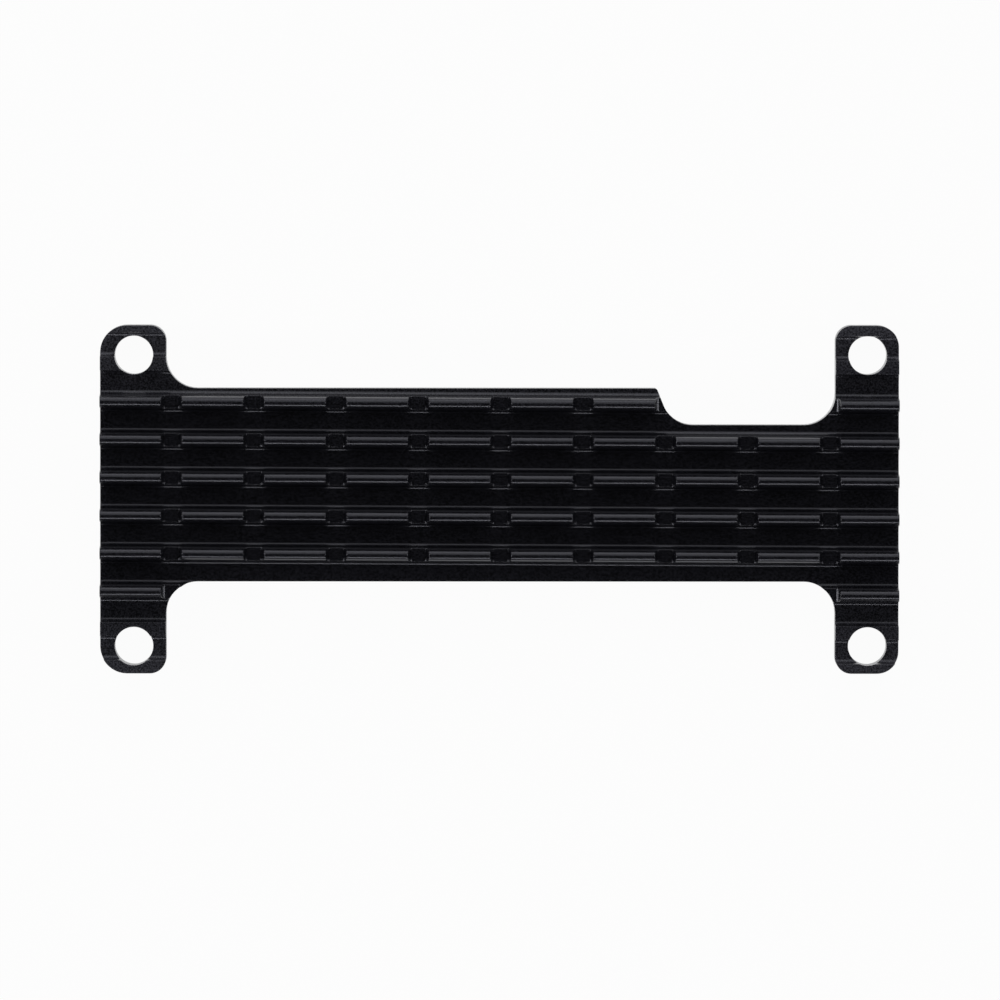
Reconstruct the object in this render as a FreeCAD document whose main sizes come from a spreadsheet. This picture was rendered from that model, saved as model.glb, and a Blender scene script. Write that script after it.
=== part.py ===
import FreeCAD, Part
import math
import os
import Sketcher

# Finned heatsink plate for a 65 x 30 mm single-board computer.
# One piece of aluminium: an extruded blank with fins all over its upper face, sawn to length and
# then milled. The mill faces the outer fins down to low stubs where the screws sit, cuts nine slots
# across the fins to the same depth, drills four holes and cuts the outline with its recesses. The
# blank lies slightly askew under the mill, so the fins aren't quite parallel to the outline.
#
# Frame: origin on the flat underside, at the centre of the four holes. X runs along the fins, Y is
# the short way with the header recess and the notch on the +Y side, and Z points out of the fins.

SIZES = [
    # name in the sheet, value in mm (angles in degrees), what it is
    ("hole_spacing_long", 58.0, "screw holes, centre to centre along X"),
    ("hole_spacing_short", 23.0, "screw holes, centre to centre along Y"),
    ("hole_diameter", 3.05, "clearance hole for an M2.5 screw"),
    ("margin_left", 2.67, "hole centre to the -X edge"),
    ("margin_right", 2.47, "hole centre to the +X edge"),
    ("margin_upper", 2.36, "hole centre to the +Y edge of its ear"),
    ("margin_lower", 2.16, "hole centre to the -Y edge of its ear"),
    ("ear_reach", 2.55, "hole centre to the inner edge of its ear"),
    ("header_setback", 2.62, "upper hole line to the edge between the upper ears"),
    ("connector_setback", 5.09, "lower hole line to the edge between the lower ears"),
    ("notch_setback", 5.51, "upper hole line to the floor of the notch"),
    ("notch_length", 16.67, "right hole line to the far end of the notch, at its mouth"),
    ("notch_wall_tilt", 21.5, "lean of that end wall"),
    ("notch_lip_radius", 0.3, "round where that wall meets the edge"),
    ("cutter_radius", 2.5, "mill that leaves every inside corner of the outline"),
    ("ear_radius_left", 2.15, "outer corners of the left ears"),
    ("ear_radius_right", 1.73, "outer corners of the right ears"),
    ("ear_radius_inner", 1.27, "inner corners of all four ears"),
    ("base_thickness", 2.0, "plate under the fins, at the floor of the valleys between them"),
    ("fin_count", 10, "rows of fins on the blank"),
    ("faced_count", 2, "rows at each long side that are milled down to stubs"),
    ("fin_pitch", 3.0, "from one row to the next"),
    ("fin_height", 1.9, "crest of a fin above the valleys"),
    ("fin_foot_width", 1.26, "fin where its sides would meet the valley floor"),
    ("fin_foot_radius", 0.3, "fillet along both sides of the foot"),
    ("fin_crest_width", 0.82, "fin where its sides would meet the crest"),
    ("fin_crest_radius", 0.45, "round along both sides, which makes the crest nearly a half circle"),
    ("fin_offset", 0.2, "middle of the rows above the middle of the holes"),
    ("blank_skew", 0.28, "turn of the rows against the outline"),
    ("stub_height", 0.8, "what the mill leaves of a fin above the valleys"),
    ("slot_count", 9, "slots across the rows"),
    ("slot_pitch", 6.5, "from one slot to the next"),
    ("slot_floor_width", 1.22, "slot at its floor, before rounding"),
    ("slot_floor_radius", 0.15, "round along both sides of that floor"),
    ("slot_wall_tilt", 12.0, "lean of both slot walls"),
]

# Places that several features share, as expressions over the sheet.
LEFT_HOLES = "-sizes.hole_spacing_long / 2"
RIGHT_HOLES = "sizes.hole_spacing_long / 2"
UPPER_HOLES = "sizes.hole_spacing_short / 2"
LOWER_HOLES = "-sizes.hole_spacing_short / 2"
LEFT_EDGE = f"({LEFT_HOLES} - sizes.margin_left)"
RIGHT_EDGE = f"({RIGHT_HOLES} + sizes.margin_right)"
UPPER_EDGE = f"({UPPER_HOLES} + sizes.margin_upper)"
LOWER_EDGE = f"({LOWER_HOLES} - sizes.margin_lower)"
LEFT_EARS_END = f"{LEFT_HOLES} + sizes.ear_reach"
RIGHT_EARS_END = f"{RIGHT_HOLES} - sizes.ear_reach"
HEADER_EDGE = f"({UPPER_HOLES} - sizes.header_setback)"
CONNECTOR_EDGE = f"{LOWER_HOLES} + sizes.connector_setback"
NOTCH_FLOOR = f"({UPPER_HOLES} - sizes.notch_setback)"
NOTCH_MOUTH = f"({RIGHT_HOLES} - sizes.notch_length)"
STOCK = "2 * sizes.cutter_radius"
CREST_TOP = "(sizes.base_thickness + sizes.fin_height)"
STUB_TOP = "(sizes.base_thickness + sizes.stub_height)"
ABOVE_FINS = f"({CREST_TOP} + sizes.fin_height)"


def bind(sketch, constraint, expression):
    """Adds a dimension to a sketch and ties it to the sheet."""
    index = sketch.addConstraint(constraint)
    sketch.setExpression(f"Constraints[{index}]", expression)


def bind_point(sketch, geometry, corner):
    """Places the first point of a line, or a lone point, at a corner's x and y."""
    x, y = corner[:2]
    bind(sketch, Sketcher.Constraint("DistanceX", -1, 1, geometry, 1, sketch.evalExpression(x)), x)
    bind(sketch, Sketcher.Constraint("DistanceY", -1, 1, geometry, 1, sketch.evalExpression(y)), y)


def draw_loop(sketch, corners):
    """Draws a closed loop of straight runs. A corner is (x, y), or (x, y, radius) where it is
    rounded, each an expression. An arc touches both of its runs, and a construction point keeps
    the place where they would meet."""
    places = [FreeCAD.Vector(*map(sketch.evalExpression, corner[:2])) for corner in corners]
    radii = [sketch.evalExpression(corner[2]) if len(corner) > 2 else 0 for corner in corners]
    run_starts, run_ends, middles = [], [], []
    for i, (place, radius) in enumerate(zip(places, radii)):
        back = (places[i - 1] - place).normalize()
        ahead = (places[(i + 1) % len(places)] - place).normalize()
        half_angle = back.getAngle(ahead) / 2
        trim = radius / math.tan(half_angle)
        run_ends.append(place + back * trim)
        run_starts.append(place + ahead * trim)
        middles.append(place + (back + ahead).normalize() * radius * (1 / math.sin(half_angle) - 1))
    runs = [sketch.addGeometry(Part.LineSegment(start, run_ends[(i + 1) % len(places)]))
            for i, start in enumerate(run_starts)]
    for i, corner in enumerate(corners):
        before, after = runs[i - 1], runs[i]
        if radii[i] == 0:
            sketch.addConstraint(Sketcher.Constraint("Coincident", before, 2, after, 1))
            bind_point(sketch, after, corner)
            continue
        arc = sketch.addGeometry(Part.Arc(run_ends[i], middles[i], run_starts[i]))
        arc_start = sketch.getPoint(arc, 1)
        from_before = arc_start.distanceToPoint(run_ends[i]) < arc_start.distanceToPoint(run_starts[i])
        first, last = (1, 2) if from_before else (2, 1)
        sketch.addConstraint(Sketcher.Constraint("Tangent", before, 2, arc, first))
        sketch.addConstraint(Sketcher.Constraint("Tangent", arc, last, after, 1))
        bind(sketch, Sketcher.Constraint("Radius", arc, radii[i]), corner[2])
        meeting = sketch.addGeometry(Part.Point(places[i]), True)
        sketch.addConstraint(Sketcher.Constraint("PointOnObject", meeting, 1, before))
        sketch.addConstraint(Sketcher.Constraint("PointOnObject", meeting, 1, after))
        bind_point(sketch, meeting, corner)


document = FreeCAD.newDocument("heatsink_plate")
sheet = document.addObject("Spreadsheet::Sheet", "sizes")
for row, (alias, value, meaning) in enumerate(SIZES, start=1):
    sheet.set(f"A{row}", meaning)
    sheet.set(f"B{row}", str(value))
    sheet.setAlias(f"B{row}", alias)
document.recompute()

body = document.addObject("PartDesign::Body", "heatsink_plate")
body.Label = "heatsink_plate"


def new_sketch(name, plane_role):
    """A sketch on one of the body's own origin planes."""
    sketch = body.newObject("Sketcher::SketchObject", name)
    plane = next(item for item in body.Origin.OriginFeatures if item.Role == plane_role)
    sketch.AttachmentSupport = [(plane, "")]
    sketch.MapMode = "FlatFace"
    return sketch


def new_blank_sketch(name):
    """A section across the blank: on the YZ plane, turned about Z by the skew."""
    sketch = new_sketch(name, "YZ_Plane")
    upright = FreeCAD.Vector(0, 1, 0)
    sketch.AttachmentOffset = FreeCAD.Placement(FreeCAD.Vector(), FreeCAD.Rotation(upright, -1))
    sketch.setExpression("AttachmentOffset.Rotation.Angle", "-sizes.blank_skew * 1 deg")
    return sketch


def symmetric_feature(kind, name, sketch, length):
    """A pad or pocket that runs both ways from its sketch."""
    feature = body.newObject(kind, name)
    feature.Profile = sketch
    feature.SideType = "Symmetric"
    feature.setExpression("Length", length)
    return feature


def repeat(name, feature, sketch, count, pitch):
    """Repeats a feature along its sketch's own X direction."""
    pattern = body.newObject("PartDesign::LinearPattern", name)
    pattern.Originals = [feature]
    pattern.Direction = (sketch, ["H_Axis"])
    pattern.setExpression("Occurrences", count)
    pattern.setExpression("Length", f"({count} - 1) * {pitch}")
    body.Tip = pattern
    return pattern


# The extruded blank, a mill's width larger than the plate all round: a flat slab with one fin, and
# that fin repeated.
BLANK_LENGTH = f"{RIGHT_EDGE} - {LEFT_EDGE} + 2 * {STOCK}"
slab_sketch = new_blank_sketch("slab_section")
draw_loop(slab_sketch, [
    (f"{LOWER_EDGE} - {STOCK}", "0"),
    (f"{UPPER_EDGE} + {STOCK}", "0"),
    (f"{UPPER_EDGE} + {STOCK}", "sizes.base_thickness"),
    (f"{LOWER_EDGE} - {STOCK}", "sizes.base_thickness"),
])
symmetric_feature("PartDesign::Pad", "slab", slab_sketch, BLANK_LENGTH)

FIRST_FIN = "(sizes.fin_offset - (sizes.fin_count - 1) / 2 * sizes.fin_pitch)"
fin_sketch = new_blank_sketch("fin_section")
draw_loop(fin_sketch, [
    (f"{FIRST_FIN} - sizes.fin_pitch / 2", "sizes.base_thickness / 2"),
    (f"{FIRST_FIN} + sizes.fin_pitch / 2", "sizes.base_thickness / 2"),
    (f"{FIRST_FIN} + sizes.fin_pitch / 2", "sizes.base_thickness"),
    (f"{FIRST_FIN} + sizes.fin_foot_width / 2", "sizes.base_thickness", "sizes.fin_foot_radius"),
    (f"{FIRST_FIN} + sizes.fin_crest_width / 2", CREST_TOP, "sizes.fin_crest_radius"),
    (f"{FIRST_FIN} - sizes.fin_crest_width / 2", CREST_TOP, "sizes.fin_crest_radius"),
    (f"{FIRST_FIN} - sizes.fin_foot_width / 2", "sizes.base_thickness", "sizes.fin_foot_radius"),
    (f"{FIRST_FIN} - sizes.fin_pitch / 2", "sizes.base_thickness"),
])
fin = symmetric_feature("PartDesign::Pad", "fin", fin_sketch, BLANK_LENGTH)
repeat("fin_rows", fin, fin_sketch, "sizes.fin_count", "sizes.fin_pitch")

# The facing cut takes the outer rows down to stubs. It ends in the valleys beside the rows it keeps.
KEPT_HALF = "(sizes.fin_count / 2 - sizes.faced_count) * sizes.fin_pitch"
facing_sketch = new_sketch("facing_section", "YZ_Plane")
for keep, beyond in ((f"sizes.fin_offset + {KEPT_HALF}", f"{UPPER_EDGE} + 2 * {STOCK}"),
                     (f"sizes.fin_offset - {KEPT_HALF}", f"{LOWER_EDGE} - 2 * {STOCK}")):
    draw_loop(facing_sketch, [(keep, STUB_TOP), (beyond, STUB_TOP),
                              (beyond, ABOVE_FINS), (keep, ABOVE_FINS)])
symmetric_feature("PartDesign::Pocket", "facing", facing_sketch, f"2 * ({BLANK_LENGTH})")

# The slots: one tapered slot across every row, repeated. Its sketch ends well above the crests.
SLOT_TOP_HALF = (f"(sizes.slot_floor_width / 2 + ({ABOVE_FINS} - {STUB_TOP})"
                 " * tan(sizes.slot_wall_tilt * 1 deg))")
FIRST_SLOT = "-(sizes.slot_count - 1) / 2 * sizes.slot_pitch"
slot_sketch = new_sketch("slot_section", "XZ_Plane")
draw_loop(slot_sketch, [
    (f"{FIRST_SLOT} - sizes.slot_floor_width / 2", STUB_TOP, "sizes.slot_floor_radius"),
    (f"{FIRST_SLOT} + sizes.slot_floor_width / 2", STUB_TOP, "sizes.slot_floor_radius"),
    (f"{FIRST_SLOT} + {SLOT_TOP_HALF}", ABOVE_FINS),
    (f"{FIRST_SLOT} - {SLOT_TOP_HALF}", ABOVE_FINS),
])
slot = symmetric_feature("PartDesign::Pocket", "slot", slot_sketch,
                         f"2 * ({UPPER_EDGE} - {LOWER_EDGE} + 2 * {STOCK})")
repeat("slots", slot, slot_sketch, "sizes.slot_count", "sizes.slot_pitch")

# The outline: what lies between this loop and a frame round the whole blank is milled away.
outline_sketch = new_sketch("outline", "XY_Plane")
draw_loop(outline_sketch, [
    (f"{LEFT_EDGE} - 2 * {STOCK}", f"{LOWER_EDGE} - 2 * {STOCK}"),
    (f"{RIGHT_EDGE} + 2 * {STOCK}", f"{LOWER_EDGE} - 2 * {STOCK}"),
    (f"{RIGHT_EDGE} + 2 * {STOCK}", f"{UPPER_EDGE} + 2 * {STOCK}"),
    (f"{LEFT_EDGE} - 2 * {STOCK}", f"{UPPER_EDGE} + 2 * {STOCK}"),
])
NOTCH_WALL_FOOT = (f"{NOTCH_MOUTH} + ({HEADER_EDGE} - {NOTCH_FLOOR})"
                   " * tan(sizes.notch_wall_tilt * 1 deg)")
draw_loop(outline_sketch, [
    (LEFT_EDGE, UPPER_EDGE, "sizes.ear_radius_left"),
    (LEFT_EARS_END, UPPER_EDGE, "sizes.ear_radius_inner"),
    (LEFT_EARS_END, HEADER_EDGE, "sizes.cutter_radius"),
    (NOTCH_MOUTH, HEADER_EDGE, "sizes.notch_lip_radius"),
    (NOTCH_WALL_FOOT, NOTCH_FLOOR, "sizes.cutter_radius"),
    (RIGHT_EARS_END, NOTCH_FLOOR, "sizes.cutter_radius"),
    (RIGHT_EARS_END, UPPER_EDGE, "sizes.ear_radius_inner"),
    (RIGHT_EDGE, UPPER_EDGE, "sizes.ear_radius_right"),
    (RIGHT_EDGE, LOWER_EDGE, "sizes.ear_radius_right"),
    (RIGHT_EARS_END, LOWER_EDGE, "sizes.ear_radius_inner"),
    (RIGHT_EARS_END, CONNECTOR_EDGE, "sizes.cutter_radius"),
    (LEFT_EARS_END, CONNECTOR_EDGE, "sizes.cutter_radius"),
    (LEFT_EARS_END, LOWER_EDGE, "sizes.ear_radius_inner"),
    (LEFT_EDGE, LOWER_EDGE, "sizes.ear_radius_left"),
])
THROUGH = f"4 * {CREST_TOP}"
symmetric_feature("PartDesign::Pocket", "outline_cut", outline_sketch, THROUGH)

# The four screw holes.
hole_sketch = new_sketch("screw_holes", "XY_Plane")
for x in (LEFT_HOLES, RIGHT_HOLES):
    for y in (LOWER_HOLES, UPPER_HOLES):
        centre = FreeCAD.Vector(hole_sketch.evalExpression(x), hole_sketch.evalExpression(y))
        radius = hole_sketch.evalExpression("sizes.hole_diameter / 2")
        circle = hole_sketch.addGeometry(Part.Circle(centre, FreeCAD.Vector(0, 0, 1), radius))
        bind(hole_sketch, Sketcher.Constraint("DistanceX", -1, 1, circle, 3, centre.x), x)
        bind(hole_sketch, Sketcher.Constraint("DistanceY", -1, 1, circle, 3, centre.y), y)
        bind(hole_sketch, Sketcher.Constraint("Radius", circle, radius), "sizes.hole_diameter / 2")
symmetric_feature("PartDesign::Pocket", "screw_hole_cut", hole_sketch, THROUGH)

document.recompute()

for item in document.Objects:
    if "Invalid" in item.State or "Error" in item.State:
        raise RuntimeError(f"{item.Label} did not compute: {item.State}")
if body.Shape.isNull() or not body.Shape.isValid() or len(body.Shape.Solids) != 1:
    raise RuntimeError(f"{body.Label} is not one sound solid")

os.makedirs("parts", exist_ok=True)
body.Shape.exportStep(f"parts/{body.Label}.step")
box = body.Shape.BoundBox
print(f"{body.Label}: {box.XLength:.2f} x {box.YLength:.2f} x {box.ZLength:.2f} mm,"
      f" {body.Shape.Volume:.1f} mm3, {len(body.Shape.Faces)} faces")
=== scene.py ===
import math

import bpy
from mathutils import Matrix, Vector

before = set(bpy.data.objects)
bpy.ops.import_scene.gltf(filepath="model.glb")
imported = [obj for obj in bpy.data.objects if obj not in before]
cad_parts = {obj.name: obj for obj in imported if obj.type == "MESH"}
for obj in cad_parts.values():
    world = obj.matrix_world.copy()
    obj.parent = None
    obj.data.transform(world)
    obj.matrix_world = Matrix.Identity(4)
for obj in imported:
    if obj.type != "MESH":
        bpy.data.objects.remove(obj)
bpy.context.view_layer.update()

# The view: down on the finned side from 90 cm through a long lens, with a tilt of about 2 degrees,
# so that the ends of the fins stay nearly over the ends of the plate.
view_data = bpy.data.cameras.new("bench_camera")
view_data.lens = 408.7
view_data.sensor_width = 36.0
camera = bpy.data.objects.new("bench_camera", view_data)
camera.location = (-0.00408, 0.03497, 0.899)
camera.rotation_euler = [math.radians(turn) for turn in (-2.230, -0.255, 0.047)]
bpy.context.scene.collection.objects.link(camera)
bpy.context.scene.camera = camera


def linear(hex_colour):
    """An sRGB hex colour as linear RGBA."""
    channels = [int(hex_colour[i:i + 2], 16) / 255 for i in (1, 3, 5)]
    return [c / 12.92 if c <= 0.04045 else ((c + 0.055) / 1.055) ** 2.4 for c in channels] + [1.0]


def add_node(tree, kind, settings=None, inputs=None):
    """Adds a shader node, sets its own settings, and fills its inputs with values or links."""
    node = tree.nodes.new(kind)
    for name, value in (settings or {}).items():
        setattr(node, name, value)
    for name, value in (inputs or {}).items():
        if isinstance(value, bpy.types.NodeSocket):
            tree.links.new(value, node.inputs[name])
        else:
            node.inputs[name].default_value = value
    return node


# The heatsink plate: one piece of aluminium, extruded with its fins, milled and then anodised.
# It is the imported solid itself, so only its finish is made here.
BLANK_SKEW = math.radians(0.28)
STUB_TOP = 0.0028
# How far from the long axis the ears start to grow duller and paler with painted light, and where
# they end.
EAR_START = 0.0075
EAR_END = 0.0138
# The width and length of the marks, the size of the grain and the radius of a broken edge.
DIE_LINE = 0.00016
DIE_LINE_LENGTH = 0.030
MILL_LINE = 0.00014
MILL_LINE_LENGTH = 0.012
ETCH_GRAIN = 0.00014
EDGE_BREAK = 0.00010

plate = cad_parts["heatsink_plate"]

# Anodised aluminium, dyed black: a hard clear oxide a few microns thick over dyed metal, which
# gives a near-black with a blue cast and a silky gloss. The extruded skin keeps faint die lines
# along the fins, the milled faces keep tool lines, and the etch before dyeing leaves a grain, drawn
# a little coarser than the real one so that it shows. The faced ears are duller, and their colour is
# painted lighter towards their ends, a painted light for the light that reaches them away from the
# fins.
anodised = bpy.data.materials.new("black_anodised_aluminium")
anodised.use_nodes = True
tree = anodised.node_tree
tree.nodes.clear()
place = add_node(tree, "ShaderNodeTexCoord").outputs["Object"]
along = add_node(tree, "ShaderNodeSeparateXYZ", inputs={"Vector": place})
height = along.outputs["Z"]
surface = add_node(tree, "ShaderNodeNewGeometry")
facing = add_node(tree, "ShaderNodeSeparateXYZ", inputs={"Vector": surface.outputs["Normal"]})

# Which face is which: the cutter left the stub tops and slots, and the outline walls stand upright.
on_stub = add_node(tree, "ShaderNodeMath", {"operation": "COMPARE"},
                   {0: height, 1: STUB_TOP, 2: 0.00002}).outputs[0]
sideways = add_node(tree, "ShaderNodeMath", {"operation": "ABSOLUTE"}, {0: facing.outputs["X"]})
in_slot = add_node(tree, "ShaderNodeMath", {"operation": "GREATER_THAN"},
                   {0: sideways.outputs[0], 1: 0.3}).outputs[0]
milled = add_node(tree, "ShaderNodeMath", {"operation": "MAXIMUM"},
                  {0: on_stub, 1: in_slot}).outputs[0]
upright = add_node(tree, "ShaderNodeMath", {"operation": "COMPARE"},
                   {0: facing.outputs["Z"], 1: 0.0, 2: 0.02}).outputs[0]

along_blank = add_node(tree, "ShaderNodeMapping", inputs={
    "Vector": place, "Rotation": (0, 0, BLANK_SKEW),
    "Scale": (1 / DIE_LINE_LENGTH, 1 / DIE_LINE, 1 / DIE_LINE)})
die_lines = add_node(tree, "ShaderNodeTexNoise", inputs={
    "Vector": along_blank.outputs[0], "Scale": 1.0, "Detail": 2.0, "Roughness": 0.6})
across_blank = add_node(tree, "ShaderNodeMapping", inputs={
    "Vector": place, "Scale": (1 / MILL_LINE, 1 / MILL_LINE_LENGTH, 1 / MILL_LINE)})
mill_lines = add_node(tree, "ShaderNodeTexNoise", inputs={
    "Vector": across_blank.outputs[0], "Scale": 1.0, "Detail": 2.0, "Roughness": 0.6})
down_walls = add_node(tree, "ShaderNodeMapping", inputs={
    "Vector": place, "Scale": (1 / MILL_LINE, 1 / MILL_LINE, 1 / MILL_LINE_LENGTH)})
wall_lines = add_node(tree, "ShaderNodeTexNoise", inputs={
    "Vector": down_walls.outputs[0], "Scale": 1.0, "Detail": 2.0, "Roughness": 0.6})
grain = add_node(tree, "ShaderNodeTexNoise", inputs={
    "Vector": place, "Scale": 1 / ETCH_GRAIN, "Detail": 2.0, "Roughness": 0.5})

cut_or_drawn = add_node(tree, "ShaderNodeMix", {"data_type": "FLOAT"}, {
    "Factor": milled, "A": die_lines.outputs["Fac"], "B": mill_lines.outputs["Fac"]})
lines = add_node(tree, "ShaderNodeMix", {"data_type": "FLOAT"}, {
    "Factor": upright, "A": cut_or_drawn.outputs["Result"], "B": wall_lines.outputs["Fac"]})

scratched = add_node(tree, "ShaderNodeBump", inputs={
    "Height": lines.outputs["Result"], "Distance": 0.000002})
rounded = add_node(tree, "ShaderNodeBevel", {"samples": 4}, {
    "Radius": EDGE_BREAK, "Normal": scratched.outputs[0]})
etched = add_node(tree, "ShaderNodeBump", inputs={
    "Height": grain.outputs["Fac"], "Distance": 0.000001, "Normal": rounded.outputs[0]})

speckle = add_node(tree, "ShaderNodeMapRange", inputs={
    "Value": grain.outputs["Fac"], "From Min": 0.37, "From Max": 0.63})
outwards = add_node(tree, "ShaderNodeMath", {"operation": "ABSOLUTE"}, {0: along.outputs["Y"]})
# This mask makes the ears duller and adds painted light, a paler colour, from EAR_START out to
# EAR_END.
ear_dull_and_painted_light = add_node(tree, "ShaderNodeMapRange", inputs={
    "Value": outwards.outputs[0], "From Min": EAR_START, "From Max": EAR_END})
gloss = add_node(tree, "ShaderNodeMapRange", inputs={
    "Value": speckle.outputs[0], "To Min": 0.17, "To Max": 0.22})
dulled = add_node(tree, "ShaderNodeMath", {"operation": "MULTIPLY_ADD"},
                  {0: ear_dull_and_painted_light.outputs[0], 1: 0.10, 2: gloss.outputs[0]})
dyed = add_node(tree, "ShaderNodeMix", {"data_type": "RGBA"}, {
    "Factor": speckle.outputs[0], 6: linear("#060608"), 7: linear("#222228")})
# Painted light on the ears: the paler colour that they take towards their ends, over the dyed body
# colour.
painted_light_on_ears = add_node(tree, "ShaderNodeMix", {"data_type": "RGBA"}, {
    "Factor": speckle.outputs[0], 6: linear("#1A1A1E"), 7: linear("#48484F")})
colour = add_node(tree, "ShaderNodeMix", {"data_type": "RGBA"}, {
    "Factor": ear_dull_and_painted_light.outputs[0], 6: dyed.outputs[2], 7: painted_light_on_ears.outputs[2]})

finish = add_node(tree, "ShaderNodeBsdfPrincipled", inputs={
    "Base Color": colour.outputs[2], "Roughness": dulled.outputs[0], "IOR": 1.62,
    "Specular Tint": linear("#F2F3FF"), "Normal": etched.outputs[0]})
add_node(tree, "ShaderNodeOutputMaterial", inputs={"Surface": finish.outputs[0]})
plate.data.materials.clear()
plate.data.materials.append(anodised)

# The table: a plain white sheet under the plate. It glows to the eye and in reflections, as an
# overexposed sheet does, and keeps a trace of the plate's shadow.
SHEET_WIDTH = 6.0
SHEET_GAP = 0.00002
bpy.ops.mesh.primitive_plane_add(size=SHEET_WIDTH, location=(0, 0, -SHEET_GAP))
table = bpy.context.object
table.name = "white_sheet"
paper = bpy.data.materials.new("white_paper")
paper.use_nodes = True
tree = paper.node_tree
tree.nodes.clear()
seen = add_node(tree, "ShaderNodeLightPath")
looked_at = add_node(tree, "ShaderNodeMath", {"operation": "MAXIMUM"},
                     {0: seen.outputs["Is Camera Ray"], 1: seen.outputs["Is Glossy Ray"]})
through = add_node(tree, "ShaderNodeMath", {"operation": "MAXIMUM"},
                   {0: looked_at.outputs[0], 1: seen.outputs["Is Transmission Ray"]})
share = add_node(tree, "ShaderNodeMath", {"operation": "MULTIPLY"}, {0: through.outputs[0], 1: 0.96})
matt = add_node(tree, "ShaderNodeBsdfDiffuse", inputs={"Color": linear("#E6E6E4")})
glow = add_node(tree, "ShaderNodeEmission", inputs={"Color": linear("#FFFFFF"), "Strength": 1.0})
sheet = add_node(tree, "ShaderNodeMixShader", inputs={
    0: share.outputs[0], 1: matt.outputs[0], 2: glow.outputs[0]})
add_node(tree, "ShaderNodeOutputMaterial", inputs={"Surface": sheet.outputs[0]})
table.data.materials.append(paper)

# The room is white to the eye and dim to the plate, so its flat faces stay dark.
room = bpy.data.worlds.new("dim_room")
bpy.context.scene.world = room
room.use_nodes = True
tree = room.node_tree
tree.nodes.clear()
seen = add_node(tree, "ShaderNodeLightPath")
dim = add_node(tree, "ShaderNodeBackground", inputs={"Color": linear("#FFFFFF"), "Strength": 0.02})
white = add_node(tree, "ShaderNodeBackground", inputs={"Color": linear("#FFFFFF"), "Strength": 1.0})
air = add_node(tree, "ShaderNodeMixShader", inputs={
    0: seen.outputs["Is Camera Ray"], 1: dim.outputs[0], 2: white.outputs[0]})
add_node(tree, "ShaderNodeOutputWorld", inputs={"Surface": air.outputs[0]})

# The lamps: two soft ones behind the plate, the lower one long and bright, a narrow one in front,
# and one low down at each end, which leaves the slots dark.
LAMPS = [
    # name, direction and elevation in degrees (0 is +X, 90 is +Y), distance, width, depth, watts
    ("low_lamp_behind", 90, 24, 0.60, 2.40, 0.30, 2.9),
    ("high_lamp_behind", 90, 56, 0.60, 1.00, 0.34, 0.75),
    ("narrow_lamp_in_front", -90, 36, 0.60, 1.00, 0.09, 1.25),
    ("low_lamp_at_left", 180, 19, 0.60, 0.14, 0.30, 1.0),
    ("low_lamp_at_right", 0, 19, 0.60, 0.14, 0.30, 0.7),
]
for name, direction, elevation, distance, width, depth, watts in LAMPS:
    lamp_data = bpy.data.lights.new(name, "AREA")
    lamp_data.shape = "RECTANGLE"
    lamp_data.size = width
    lamp_data.size_y = depth
    lamp_data.energy = watts
    lamp = bpy.data.objects.new(name, lamp_data)
    around, up = math.radians(direction), math.radians(elevation)
    lamp.location = Vector((math.cos(around) * math.cos(up), math.sin(around) * math.cos(up),
                            math.sin(up))) * distance
    lamp.rotation_euler = (math.pi / 2 - up, 0, around + math.pi / 2)
    lamp.visible_camera = False
    bpy.context.scene.collection.objects.link(lamp)

bpy.context.scene.view_settings.view_transform = "Standard"
